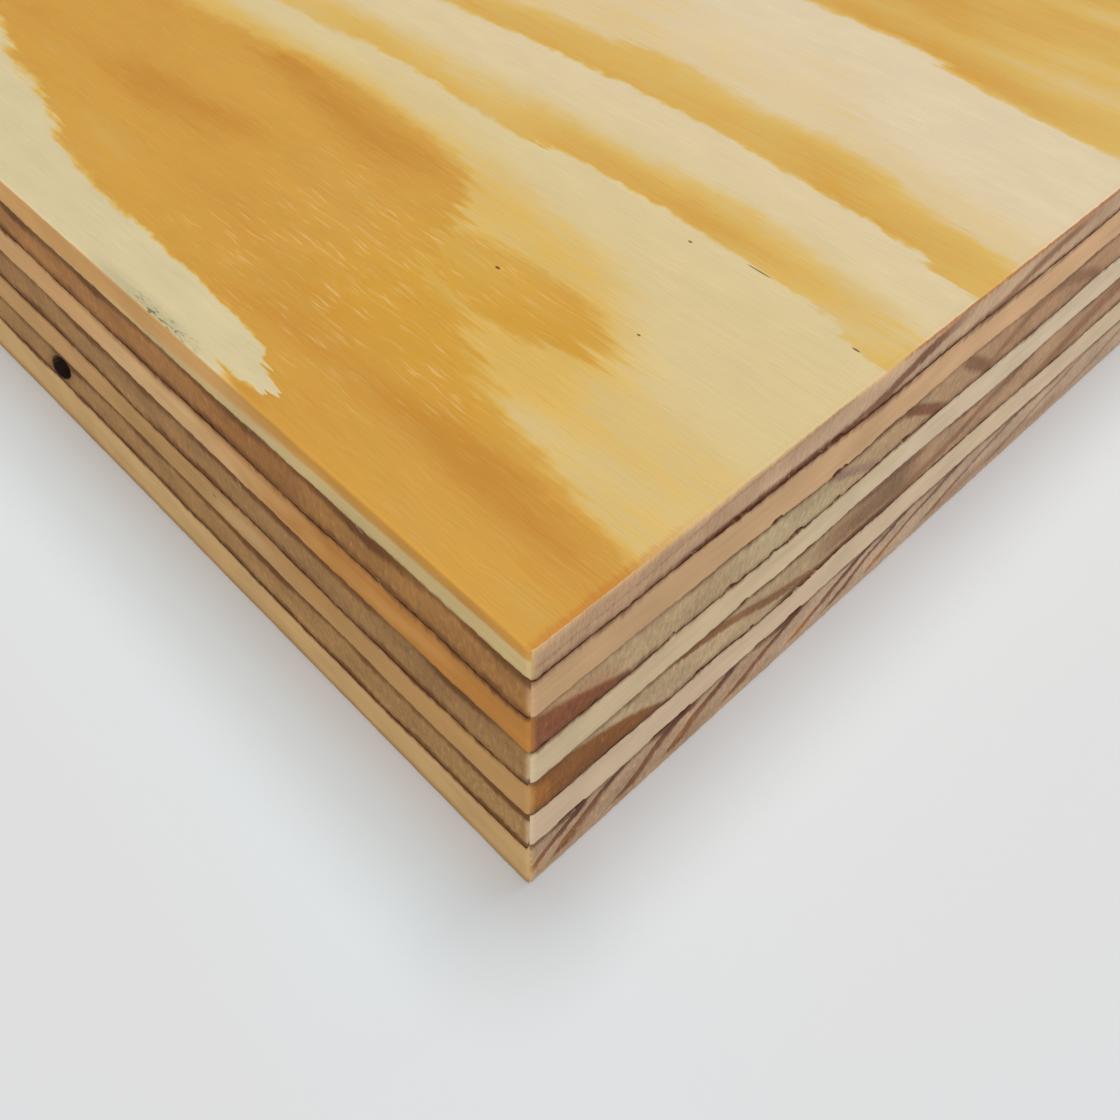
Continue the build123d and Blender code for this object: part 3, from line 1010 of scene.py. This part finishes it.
# How many rows of each arris carry the finish of the sheet's face
FACE_ROWS = 2


def band_faces(rows, count):
    """Four-sided faces between rows of points, which each go once round the sheet."""
    first = np.arange(count)
    after = np.roll(first, -1)
    faces = []
    for row in range(rows - 1):
        faces += (np.stack([first, after, after + count, first + count], 1) + row * count).tolist()
    return faces


def veneer_mesh(name, settings):
    """Closed mesh of one veneer, with close rows and columns at the detailed corner."""
    low, high = (corner.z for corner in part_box(name))
    round_low, round_high = name == NAMES[-1], name == NAMES[0]
    rows = edge_rows(low, high, settings, round_low, round_high)
    around, outward, corners = outline(settings)
    count = len(around)
    verts = []
    for height, inset in rows:
        verts += [(*place, height) for place in around - outward * inset]
    inward = np.tile(np.column_stack([-outward, np.zeros(count)]), (len(rows), 1))
    faces = band_faces(len(rows), count)
    edge_faces = len(faces)
    first = np.arange(count)
    last = first + (len(rows) - 1) * count
    cap(verts, faces, first.tolist(), around, corners, rows[0][0], False)
    low_faces = len(faces)
    cap(verts, faces, last.tolist(), around, corners, rows[-1][0], True)
    mesh = bpy.data.meshes.new(name + "_wood")
    mesh.from_pydata(verts, [], faces)

    # What the relief and the finishes read: how high a point lies, its way in, and the kind of each face
    heights = np.array([vert[2] for vert in verts])
    share = np.clip((heights - low) / (high - low), 0, 1).astype(np.float32)
    store(mesh, "ply_height", "FLOAT", "POINT", share)
    inward = np.concatenate([inward, np.zeros((len(verts) - len(inward), 3))]).astype(np.float32)
    store(mesh, "inward", "FLOAT_VECTOR", "POINT", inward.ravel())
    on_face = np.zeros(len(faces), bool)
    if round_high:
        on_face[edge_faces - FACE_ROWS * count:edge_faces] = True
        on_face[low_faces:] = True
    if round_low:
        on_face[:FACE_ROWS * count] = True
        on_face[edge_faces:low_faces] = True
    store(mesh, "on_face", "BOOLEAN", "FACE", on_face)
    glued = ~on_face
    glued[:edge_faces] = False
    store(mesh, "glued", "BOOLEAN", "FACE", glued)
    smooth = np.ones(len(faces), bool)
    smooth[edge_faces:] = False
    mesh.polygons.foreach_set("use_smooth", smooth)
    return mesh


def new_tree(name, inputs):
    """A geometry node tree with inputs of these kinds and names, its writer and the wires of the inputs."""
    group = bpy.data.node_groups.new(name, "GeometryNodeTree")
    for kind, labels in inputs.items():
        for label in labels:
            group.interface.new_socket(name=label, in_out="INPUT", socket_type="NodeSocket" + kind)
    group.interface.new_socket(name="Geometry", in_out="OUTPUT", socket_type="NodeSocketGeometry")
    nodes = Nodes(group)
    given = nodes.outputs("NodeGroupInput")
    return group, nodes, {wire.socket.name: wire for wire in given if wire.socket.name}


# How far each glue line, counted from the top, dips below its level near the corner, in mm at distances from
# the corner: first on the long edge and then on the end
GLUE_DIPS = {
    1: (
        [(0, 0.0), (5, 0.08), (11, 0.1), (17, 0.16), (20, 0.18), (24, 0.1), (32, 0.02), (40, -0.1), (58, 0)],
        [(0, 0.2), (5, 0.17), (8, 0.21), (14, 0.28), (20, 0.38), (24, 0.25), (32, 0.25), (40, 0.1), (58, 0)]),
    2: (
        [(0, 0.08), (3, 0.23), (5, 0.14), (9, 0.28), (14, 0.27), (17, 0.2), (20, 0.2), (24, 0.1), (28, 0.08),
         (40, -0.1), (58, 0)],
        [(0, 0.0), (3, 0.09), (8, 0.16), (11, 0.25), (14, 0.42), (17, 0.52), (20, 0.28), (24, 0.07),
         (28, -0.06), (32, 0.1), (40, -0.1), (58, 0)]),
    3: (
        [(0, 0.1), (3, 0.18), (5, 0.3), (8, 0.32), (14, 0.29), (17, 0.17), (20, 0.18), (24, 0.15),
         (28, -0.1), (40, -0.18), (58, 0)],
        [(0, 0.15), (3, 0.24), (5, 0.32), (8, 0.22), (11, 0.31), (14, 0.46), (17, 0.5), (20, 0.38),
         (24, 0.2), (32, 0.33), (40, 0.1), (58, 0)]),
    4: (
        [(0, 0.25), (1.5, 0.5), (5, 0.6), (9, 0.7), (14, 0.66), (17, 0.5), (20, 0.42), (24, 0.58), (28, 0.38),
         (33, 0.14), (58, 0)],
        [(0, 0.15), (3, 0.23), (8, 0.22), (12, 0.18), (16, 0.3), (20, 0.04), (24, 0.02), (28, 0.17),
         (32, 0.25), (37, 0.03), (58, 0)]),
    5: (
        [(0, 0.08), (3, 0.3), (8, 0.41), (14, 0.37), (20, 0.27), (24, 0.12), (28, 0.0), (58, 0)],
        [(0, 0.15), (3, 0.31), (5, 0.36), (8, 0.55), (11, 0.42), (14, 0.76), (17, 0.74), (20, 0.48),
         (24, 0.47), (32, 0.4), (37, 0.5), (58, 0.1)]),
    6: (
        [(0, 0.28), (1.5, 0.48), (5, 0.56), (9, 0.6), (14, 0.62), (17, 0.54), (20, 0.52), (24, 0.23),
         (32, 0.0), (40, -0.1), (58, 0)],
        [(0, 0.0), (5, 0.18), (8, 0.13), (14, 0.15), (20, 0.2), (24, 0.06), (32, -0.08), (37, 0.04),
         (58, 0)]),
}
# Sets the relief noise of the end apart from that of the long edge, in mm
END_APART = 40.0
# How far the torn gaps reach into each veneer, at most, in mm
TEAR_HEIGHT = 0.2
# Where each glue line, counted from the top, is torn open on the end: middles and half lengths in mm
TORN_PLACES = {
    1: [(10.2, 0.5), (15.8, 0.6)],
    2: [(13.0, 0.4), (17.0, 0.6)],
    3: [(7.4, 0.25), (10.7, 0.45), (13.4, 0.25), (14.9, 0.5), (17.6, 0.4), (22.4, 0.5)],
    4: [(12.0, 0.4)],
    5: [(9.8, 0.35), (13.4, 0.25), (16.5, 0.35), (17.9, 0.3)],
    6: [(2.4, 1.0), (8.6, 1.7), (14.5, 0.5), (17.1, 0.7), (21.5, 0.5)],
}
# Where the drawn curves of the torn places end, in mm
TORN_REACH = 30


class Spot:
    """Where on the sawn edges a point of a veneer's mesh lies, in mm."""

    def __init__(self, nodes, reach):
        position = nodes.add("GeometryNodeInputPosition")
        x, y, self.z = nodes.split(nodes.scaled(position, 1 / MM))
        self.u = HALF_LENGTH - x
        self.v = y + HALF_WIDTH
        self.on_end = self.u < self.v
        self.along = nodes.blend(self.on_end, self.u, self.v)
        self.shown = nodes.fade(self.along, reach * 0.9, reach)


def drawn_dips(nodes, spot):
    """How far each glue line dips at a point, by its number from the top."""
    dips = {}
    for number, (side, end) in GLUE_DIPS.items():
        on_side, on_end = nodes.drawn_curve(spot.along, side), nodes.drawn_curve(spot.along, end)
        dips[number] = nodes.blend(spot.on_end, on_side, on_end)
    return dips


def line_wander(nodes, spot, value, dips, line):
    """How far a glue line strays up or down, alike for the veneers above and below it."""
    dip = 0.0
    for number, drawn in dips.items():
        dip = drawn * (abs(line - number) < 0.5) + dip
    where = nodes.vector(spot.along, line * 5.3 + spot.on_end * END_APART + value["Seed"])
    slow = nodes.noise(where, 0.2, 1.0, 1.0, detail=1.0)
    jagged = nodes.noise(where, 2.2, 1.0, 2.0, rough=0.6)
    return (slow * 0.5 + jagged * 0.45) * value["Glue Wander"] - dip * value["Glue Dip"]


def saw_fuzz(nodes, spot, value):
    """How deep the saw bit: a fine fuzz on end grain, and long shallow marks on side grain."""
    edge = nodes.vector(spot.along, spot.z + spot.on_end * END_APART)
    across = nodes.noise(edge, 3.4, 2.2, 3.0, detail=3.0, rough=0.6)
    lengthwise = nodes.noise(edge, 0.5, 4.0, 4.0, rough=0.6)
    end_grain = abs(spot.on_end - value["Grain Across"])
    return nodes.blend(end_grain, lengthwise * 0.35 + 0.7, across * 0.55 + 1.2) * value["Saw Roughness"]


def torn_gap(nodes, spot, value, line, distance, glued):
    """Gaps torn along one glue line on the end, at its listed places and with ragged ends."""
    where = nodes.vector(spot.along, line * 7.1 + spot.on_end * END_APART + value["Seed"] * 3.0)
    chance = nodes.noise(where, 1.1, 1.0, 5.0, detail=3.0, rough=0.65) * 0.5
    for number, places in TORN_PLACES.items():
        rises = [(0, 0)]
        for middle, half in places:
            rises += [(middle - half, 0), (middle - half * 0.6, 1)]
            rises += [(middle + half * 0.6, 1), (middle + half, 0)]
        here = nodes.smooth(abs(line - number), 0.3, 0.6, 1.3, 0.0) * spot.on_end
        chance = chance + nodes.drawn_curve(spot.along, rises + [(TORN_REACH, 0)]) * here
    width = nodes.smooth(chance, 0.5, 1.4) * TEAR_HEIGHT * glued
    return nodes.fade(distance - width, -0.08, 0.02) * (width > 0.01)


def knot_hollow(nodes, spot):
    """Share of the knot hole's depth at a point, with an uneven rim."""
    rim = nodes.noise(nodes.vector(spot.u, spot.z), 1.6, 1.6, 6.0, detail=1.0) * 0.12
    return nodes.fade(from_knot(spot.u, spot.z) + rim, 0.7, 0.98) * (spot.v < EDGE_SKIN)


def relief_tree():
    """Geometry nodes that give sawn edges their fuzz, torn glue lines, wander and knot hole."""
    group, nodes, value = new_tree("Sawn edge relief", {
        "Geometry": ["Geometry"],
        "Material": ["Edge Finish", "Face Finish", "Glue Finish"],
        "Float": [
            "Saw Roughness", "Tear Depth", "Glue Wander", "Reach", "Upper Line", "Lower Line", "Upper Glued",
            "Lower Glued", "Glue Dip", "Grain Across", "Seed", "Knot Hole", "Height"],
    })
    spot = Spot(nodes, value["Reach"] / MM)
    marks = {"ply_height": "FLOAT", "inward": "FLOAT_VECTOR", "on_face": "BOOLEAN", "glued": "BOOLEAN"}
    share, inward, on_face, glued = (
        nodes.add("GeometryNodeInputNamedAttribute", {"data_type": kind}, {"Name": name})
        for name, kind in marks.items())

    # The rows between the two glue lines follow each of them in proportion
    dips = drawn_dips(nodes, spot)
    upper = line_wander(nodes, spot, value, dips, value["Upper Line"]) * value["Upper Glued"]
    lower = line_wander(nodes, spot, value, dips, value["Lower Line"]) * value["Lower Glued"]
    lift = nodes.blend(share, lower, upper) * spot.shown

    below_top, above_base = (1.0 - share) * value["Height"], share * value["Height"]
    tear_up = torn_gap(nodes, spot, value, value["Upper Line"], below_top, value["Upper Glued"])
    tear_low = torn_gap(nodes, spot, value, value["Lower Line"], above_base, value["Lower Glued"])
    tear = nodes.larger(tear_up, tear_low) * spot.shown

    saw = saw_fuzz(nodes, spot, value)
    hole = knot_hollow(nodes, spot) * value["Knot Hole"]
    inset = (saw + hole) * spot.shown + tear * value["Tear Depth"]
    sockets = {0: nodes.scaled(inward, inset), 1: nodes.vector(0.0, 0.0, lift)}
    both = nodes.add("ShaderNodeVectorMath", {"operation": "ADD"}, sockets)
    sockets = {"Geometry": value["Geometry"], "Name": "torn", "Value": tear}
    marked = nodes.add("GeometryNodeStoreNamedAttribute", {"data_type": "FLOAT", "domain": "POINT"}, sockets)
    moved = nodes.add("GeometryNodeSetPosition", None, {"Geometry": marked, "Offset": both})
    wood = nodes.add("GeometryNodeRealizeInstances", None, {"Geometry": moved})
    wood = nodes.finished(wood, value["Edge Finish"])
    wood = nodes.finished(wood, value["Glue Finish"], glued)
    wood = nodes.finished(wood, value["Face Finish"], on_face)
    nodes.add("NodeGroupOutput", None, {"Geometry": wood})
    return group


def new_object(name, data):
    """An object of the scene with this mesh, lamp or camera."""
    item = bpy.data.objects.new(name, data)
    bpy.context.scene.collection.objects.link(item)
    return item


def shaped_by(tree, mesh, name, values):
    """An object made of mesh as the node tree changes it, as a plain mesh."""
    piece = new_object(name, mesh)
    modifier = piece.modifiers.new(tree.name, "NODES")
    modifier.node_group = tree
    for item in tree.interface.items_tree:
        if item.in_out == "INPUT" and item.name in values:
            modifier[item.identifier] = values[item.name]
    graph = bpy.context.evaluated_depsgraph_get()
    shaped = piece.evaluated_get(graph)
    result = bpy.data.meshes.new_from_object(shaped, preserve_all_data_layers=True, depsgraph=graph)
    piece.modifiers.remove(modifier)
    piece.data = result
    return piece


def make_veneer(name, settings):
    """Builds one veneer in place of its plain solid."""
    index = NAMES.index(name)
    tree = bpy.data.node_groups.get("Sawn edge relief") or relief_tree()
    low, high = (corner.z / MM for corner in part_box(name))
    edge = edge_material(name, settings)
    has_face = name in (NAMES[0], NAMES[-1])
    values = {
        "Edge Finish": edge,
        "Face Finish": face_material(name, settings) if has_face else edge,
        "Glue Finish": bpy.data.materials.get("glue film and gap shade") or glue_material(settings),
        "Saw Roughness": settings.saw_depth,
        "Tear Depth": settings.tear_depth,
        "Glue Wander": settings.glue_wander,
        "Reach": settings.fine_reach,
        "Upper Line": float(index),
        "Lower Line": float(index + 1),
        "Upper Glued": float(index > 0),
        "Lower Glued": float(index < len(NAMES) - 1),
        "Glue Dip": settings.glue_dip * MM,
        "Grain Across": float(VENEERS[name] == "cross"),
        "Seed": float(settings.seed),
        "Knot Hole": settings.knot_depth * (name == KNOT_VENEER),
        "Height": high - low,
    }
    piece = shaped_by(tree, veneer_mesh(name, settings), name + "_wood", values)
    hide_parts(name)
    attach(piece, BODY)


# Loose fibres: the share of them on the end, how far along the edges they are found, the shortest and the
# longest in mm, and how steeply they lean, in degrees
FIBRES_ON_END = 0.62
FIBRE_REACH = (5.0, 30.0)
FIBRE_LENGTHS = (0.2, 0.55)
FIBRE_LEAN = 75.0
# They grow from beside the glue lines at these depths below the face, and stray from them by so much, in mm
FIBRE_DEPTHS = [(0, 1.6), (1, 3.95), (2, 6.2), (3, 8.55), (4, 11.15), (5, 14.05)]
FIBRE_STRAY = 0.3
# How far behind the plane of the edge their roots are, and how far they stand off, in mm
FIBRE_ROOT = 0.05
FIBRE_BOW = 0.035
# Share of their thickness that they lose towards the tip
FIBRE_TAPER = 0.85


def fibre_tree():
    """Geometry nodes that scatter fine bent fibres over the two sawn edges by the corner."""
    group, nodes, value = new_tree(
        "Loose fibres", {"Material": ["Finish"], "Int": ["Count", "Seed"], "Float": ["Radius"]})

    def chance(low, high, draw):
        """A random number for each fibre."""
        sockets = {2: low, 3: high, 8: value["Seed"] + draw}
        return nodes.add("FunctionNodeRandomValue", {"data_type": "FLOAT"}, sockets, out=1)

    on_end = chance(0.0, 1.0, 1) < FIBRES_ON_END
    along = chance(*FIBRE_REACH, 2)
    line = chance(0.0, len(FIBRE_DEPTHS) - 0.01, 3)
    depth = nodes.drawn_curve(nodes.math("FLOOR", line), FIBRE_DEPTHS)
    height = THICKNESS - depth + chance(-FIBRE_STRAY, FIBRE_STRAY, 6)
    x = nodes.blend(on_end, HALF_LENGTH - along, HALF_LENGTH - FIBRE_ROOT)
    y = nodes.blend(on_end, FIBRE_ROOT - HALF_WIDTH, along - HALF_WIDTH)
    spot = nodes.scaled(nodes.vector(x, y, height), MM)
    points = nodes.add("GeometryNodePoints", None, {"Count": value["Count"], "Position": spot})

    # One fibre of 1 mm, which bows outwards from its root and comes back near the edge at its tip
    middle = (0.45 * MM, -FIBRE_BOW * 2 * MM, 0.1 * MM)
    tip = (MM, -FIBRE_BOW * 0.4 * MM, 0.02 * MM)
    sockets = {"Resolution": 6, "Start": (0, 0, 0), "Middle": middle, "End": tip}
    bend = nodes.add("GeometryNodeCurveQuadraticBezier", None, sockets)
    taper = 1.0 - nodes.add("GeometryNodeSplineParameter") * FIBRE_TAPER
    bend = nodes.add("GeometryNodeSetCurveRadius", None, {"Curve": bend, "Radius": taper})
    ring = nodes.add("GeometryNodeCurvePrimitiveCircle", None, {"Resolution": 4, "Radius": value["Radius"]})
    sockets = {"Curve": bend, "Profile Curve": ring, "Fill Caps": True}
    fibre = nodes.add("GeometryNodeCurveToMesh", None, sockets)

    lean = chance(-math.radians(FIBRE_LEAN), math.radians(FIBRE_LEAN), 4)
    turn = nodes.vector(0.0, lean, on_end * math.radians(90))
    turn = nodes.add("FunctionNodeEulerToRotation", None, {"Euler": turn})
    sockets = {"Points": points, "Instance": fibre, "Rotation": turn, "Scale": chance(*FIBRE_LENGTHS, 5)}
    spread = nodes.add("GeometryNodeInstanceOnPoints", None, sockets)
    whole = nodes.add("GeometryNodeRealizeInstances", None, {"Geometry": spread})
    nodes.add("NodeGroupOutput", None, {"Geometry": nodes.finished(whole, value["Finish"])})
    return group


def fibre_material(settings):
    """Pale fibres with darker stretches."""
    material, nodes = new_material("loose fibre")
    place = Place(nodes)
    spot = nodes.noise(nodes.vector(place.x + place.y, place.z), 1.5, 1.5, 77.0, detail=1.0)
    colour = nodes.paint(nodes.smooth(spot, -0.2, 1.0, 0.0, 0.6), settings.loose_fibre, settings.fibre)
    finish(nodes, colour, FIBRE_ROUGHNESS, spot, settings)
    return material


def make_fibres(settings):
    """Builds the loose fibres of the two sawn edges as one mesh."""
    values = {
        "Finish": fibre_material(settings),
        "Count": settings.fibre_count,
        "Radius": settings.fibre_radius,
        "Seed": settings.seed,
    }
    piece = shaped_by(fibre_tree(), bpy.data.meshes.new("loose_fibres"), "loose_fibres", values)
    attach(piece, BODY)


class PLYWOOD_OT_face_veneer(bpy.types.Operator):
    """Build the figured veneer on top"""

    bl_idname = "plywood.face_veneer"
    bl_label = "Face Veneer"

    def execute(self, context):
        make_veneer("face_veneer", context.scene.plywood)
        return {"FINISHED"}


class PLYWOOD_OT_crossbands(bpy.types.Operator):
    """Build the three veneers whose grain runs across the sheet"""

    bl_idname = "plywood.crossbands"
    bl_label = "Crossbands"

    def execute(self, context):
        for name, grain in VENEERS.items():
            if grain == "cross":
                make_veneer(name, context.scene.plywood)
        return {"FINISHED"}


class PLYWOOD_OT_cores(bpy.types.Operator):
    """Build the two inner veneers whose grain runs along the sheet"""

    bl_idname = "plywood.cores"
    bl_label = "Cores"

    def execute(self, context):
        for name in ("upper_core", "lower_core"):
            make_veneer(name, context.scene.plywood)
        return {"FINISHED"}


class PLYWOOD_OT_back_veneer(bpy.types.Operator):
    """Build the veneer underneath"""

    bl_idname = "plywood.back_veneer"
    bl_label = "Back Veneer"

    def execute(self, context):
        make_veneer("back_veneer", context.scene.plywood)
        return {"FINISHED"}


class PLYWOOD_OT_fibres(bpy.types.Operator):
    """Scatter the fine fibres that the saw left on the edges"""

    bl_idname = "plywood.fibres"
    bl_label = "Loose Fibres"

    def execute(self, context):
        make_fibres(context.scene.plywood)
        return {"FINISHED"}


# The camera looks at the corner from close by: its place from the corner's top, in mm, and its angles in
# degrees
EYE_FROM_CORNER = (13.18, -12.63, 27.73)
CAMERA_AZIMUTH = 43.9
CAMERA_ELEVATION = 51.7
CAMERA_ROLL = 2.39
# Lamps: the side that they stand on, their height and how wide they spread, in degrees
FRONT_LAMP = (CAMERA_AZIMUTH, 41.0, 30.0)
BACK_LAMP = (212.0, 79.0, 24.0)
# Half the side of the floor, in metres
FLOOR_HALF = 60.0
# How far from the sheet the painted cool tint of the floor's shade sets in, and where it fades, in mm
SHADE_TINT_START = (0.6, 2.4)
SHADE_TINT_FADE = (4.5, 14.0)


def make_floor(settings):
    """A wide floor, painted slightly cooler where the wood throws warm light on it: a painted tint of the
    shade beside the sheet.
    """
    mesh = bpy.data.meshes.new("floor")
    half = FLOOR_HALF
    corners = [(-half, -half, 0), (half, -half, 0), (half, half, 0), (-half, half, 0)]
    mesh.from_pydata(corners, [], [(0, 1, 2, 3)])
    floor = new_object("floor", mesh)
    material, nodes = new_material("pale floor")
    place = Place(nodes)
    past_side = abs(place.y) - HALF_WIDTH
    past_end = abs(place.x) - HALF_LENGTH
    # Painted cool tint in the shade beside the sheet
    side_shade_tint = nodes.smooth(past_side, *SHADE_TINT_START) * nodes.fade(past_side, *SHADE_TINT_FADE)
    side_shade_tint = side_shade_tint * nodes.smooth(past_end, -4.0, 3.0, 1.0, 0.3)
    end_shade_tint = nodes.smooth(past_end, *SHADE_TINT_START) * nodes.smooth(past_end, *SHADE_TINT_FADE, 0.35, 0.0)
    colour = nodes.paint(nodes.larger(side_shade_tint, end_shade_tint), settings.floor, settings.floor_shade_tint)
    shader = nodes.add("ShaderNodeBsdfPrincipled", None, {"Base Color": colour, "Roughness": FLOOR_ROUGHNESS})
    nodes.add("ShaderNodeOutputMaterial", None, {"Surface": shader})
    mesh.materials.append(material)


def make_lamp(name, strength, azimuth, elevation, spread):
    """A soft far lamp on the side that a camera at this azimuth would stand on."""
    lamp = bpy.data.lights.new(name, "SUN")
    lamp.energy = strength
    lamp.angle = math.radians(spread)
    holder = new_object(name, lamp)
    holder.rotation_euler = (math.radians(90 - elevation), 0.0, math.radians(azimuth))


def make_camera(settings):
    """The close camera that looks down on the corner."""
    camera = bpy.data.cameras.new("camera")
    camera.sensor_width = 36.0
    camera.lens = settings.camera_focal
    camera.clip_start = 0.001
    camera.clip_end = 200.0
    holder = new_object("camera", camera)
    azimuth, elevation, roll = (math.radians(a) for a in (CAMERA_AZIMUTH, CAMERA_ELEVATION, CAMERA_ROLL))
    corner = np.array([HALF_LENGTH, -HALF_WIDTH, THICKNESS])
    holder.location = (corner + np.array(EYE_FROM_CORNER)) * MM
    level_back = np.array([math.sin(azimuth), -math.cos(azimuth), 0.0])
    back = level_back * math.cos(elevation) + np.array([0.0, 0.0, math.sin(elevation)])
    level = np.array([math.cos(azimuth), math.sin(azimuth), 0.0])
    right = level * math.cos(roll) + np.cross(back, level) * math.sin(roll)
    up = np.cross(back, right)
    holder.rotation_euler = Matrix(np.stack([right, up, back], 1).tolist()).to_euler()
    bpy.context.scene.camera = holder


class PLYWOOD_OT_stage(bpy.types.Operator):
    """Build the floor, the lamps and the camera"""

    bl_idname = "plywood.stage"
    bl_label = "Stage"

    def execute(self, context):
        settings = context.scene.plywood
        make_floor(settings)
        make_lamp("front lamp", settings.front_light, *FRONT_LAMP)
        make_lamp("back lamp", settings.back_light, *BACK_LAMP)
        make_camera(settings)
        world = bpy.data.worlds.new("sky")
        world.use_nodes = True
        sky = world.node_tree.nodes["Background"]
        sky.inputs["Color"].default_value = (1.0, 1.0, 1.0, 1.0)
        sky.inputs["Strength"].default_value = settings.sky_light
        context.scene.world = world
        context.scene.view_settings.view_transform = "Standard"
        return {"FINISHED"}


class PLYWOOD_PT_sheet(bpy.types.Panel):
    """Lists the pieces of the sheet and their settings"""

    bl_idname = "PLYWOOD_PT_sheet"
    bl_label = "Plywood Sheet"
    bl_space_type = "VIEW_3D"
    bl_region_type = "UI"
    bl_category = "Plywood"

    def draw(self, context):
        for step in STEPS:
            self.layout.operator(step)
        for name in SheetSettings.__annotations__:
            self.layout.prop(context.scene.plywood, name)


STEPS = (
    "plywood.face_veneer",
    "plywood.crossbands",
    "plywood.cores",
    "plywood.back_veneer",
    "plywood.fibres",
    "plywood.stage",
)
CLASSES = (
    SheetSettings,
    PLYWOOD_OT_face_veneer,
    PLYWOOD_OT_crossbands,
    PLYWOOD_OT_cores,
    PLYWOOD_OT_back_veneer,
    PLYWOOD_OT_fibres,
    PLYWOOD_OT_stage,
    PLYWOOD_PT_sheet,
)


def register():
    for cls in CLASSES:
        bpy.utils.register_class(cls)
    bpy.types.Scene.plywood = PointerProperty(type=SheetSettings)


def unregister():
    del bpy.types.Scene.plywood
    for cls in reversed(CLASSES):
        bpy.utils.unregister_class(cls)


def main():
    register()
    for step in STEPS:
        group, action = step.split(".")
        getattr(getattr(bpy.ops, group), action)()


if __name__ == "__main__":
    main()
